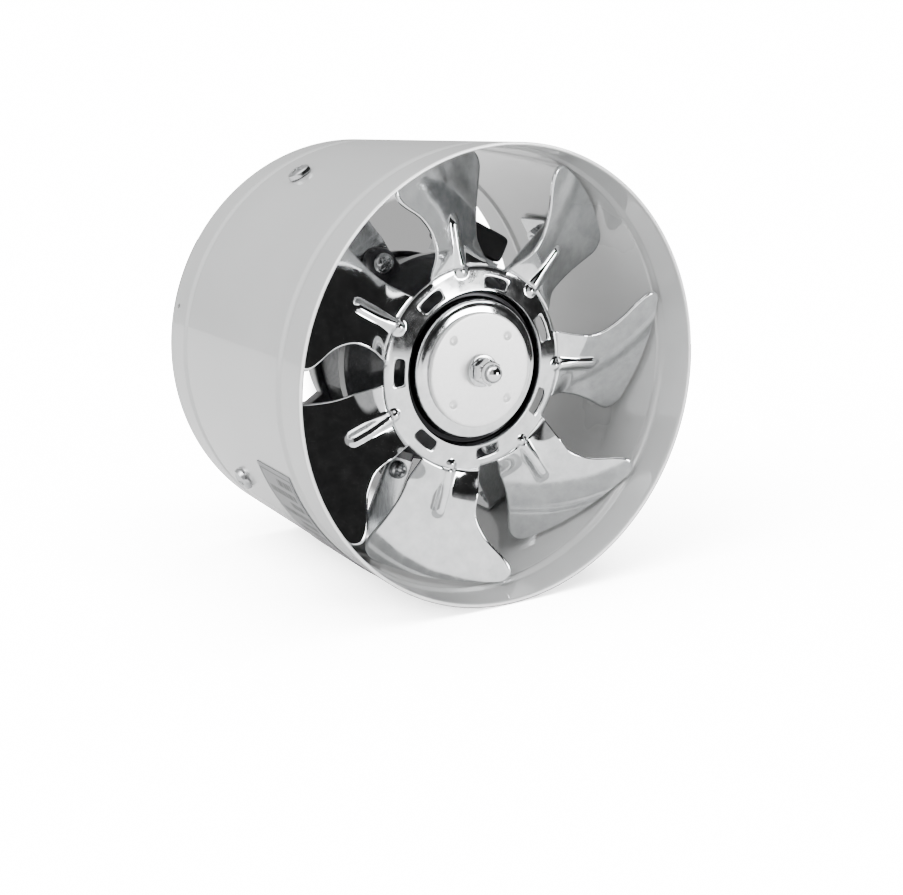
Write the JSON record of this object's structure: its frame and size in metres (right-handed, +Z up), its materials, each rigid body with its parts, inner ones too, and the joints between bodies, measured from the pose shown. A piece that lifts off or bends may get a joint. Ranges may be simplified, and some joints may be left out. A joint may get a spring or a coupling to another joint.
{
  "type": "inline duct fan",
  "caption": "Round inline duct fan: a painted sheet steel tube with a strip-mounted motor inside and a bright pressed impeller behind its front opening.",
  "frame": {"origin": "on the fan axis, in the plane of the front rim", "axes": "+Y along the fan axis, into the casing from the front opening; +Z up; +X to the right seen from in front"},
  "size_m": [0.15, 0.11, 0.152],
  "materials": {
    "casing_paint": "gloss light grey enamel on sheet steel",
    "label": "plain printed foil, no text",
    "rubber": "matt black",
    "zinc_steel": "bright zinc plate",
    "motor_shell": "black enamel on pressed and cast shells",
    "laminations": "stacked electrical steel",
    "copper_wire": "enamelled copper wire",
    "black_plastic": "moulded",
    "bright_steel": "mirror-bright plated pressing",
    "hub_plate": "satin zinc plate"
  },
  "bodies": {
    "casing": {"casing_tube": "casing_paint", "rating_label": "label", "cable_grommet": "rubber", "arm_1": "zinc_steel", "arm_2": "zinc_steel", "arm_3": "zinc_steel", "arm_4": "zinc_steel", "casing_screw_1": "zinc_steel", "casing_screw_2": "zinc_steel", "casing_screw_3": "zinc_steel", "casing_screw_4": "zinc_steel", "casing_nut_1": "zinc_steel", "casing_nut_2": "zinc_steel", "casing_nut_3": "zinc_steel", "casing_nut_4": "zinc_steel", "motor_front_bell": "motor_shell", "motor_rear_bell": "motor_shell", "tie_bolt_1": "zinc_steel", "tie_bolt_2": "zinc_steel", "tie_bolt_3": "zinc_steel", "tie_bolt_4": "zinc_steel", "tie_nut_1": "zinc_steel", "tie_nut_2": "zinc_steel", "tie_nut_3": "zinc_steel", "tie_nut_4": "zinc_steel", "stator_core": "laminations", "winding_front": "copper_wire", "winding_rear": "copper_wire", "bearing_front": "zinc_steel", "bearing_rear": "zinc_steel", "earth_strap": "zinc_steel", "earth_screw": "zinc_steel", "run_capacitor": "black_plastic", "capacitor_saddle": "zinc_steel"},
    "rotor": {"impeller": "bright_steel", "hub_plate": "hub_plate", "spot_weld_1": "bright_steel", "spot_weld_2": "bright_steel", "spot_weld_3": "bright_steel", "spot_weld_4": "bright_steel", "hub_bush": "zinc_steel", "washer": "zinc_steel", "acorn_nut": "bright_steel", "shaft": "zinc_steel", "rotor_core": "laminations"}
  },
  "joints": [
    {"name": "impeller_spin", "type": "hinge", "parent": "casing", "child": "rotor", "pos_m": [0, 0, 0], "axis": [0, 1, 0], "continuous": true}
  ]
}
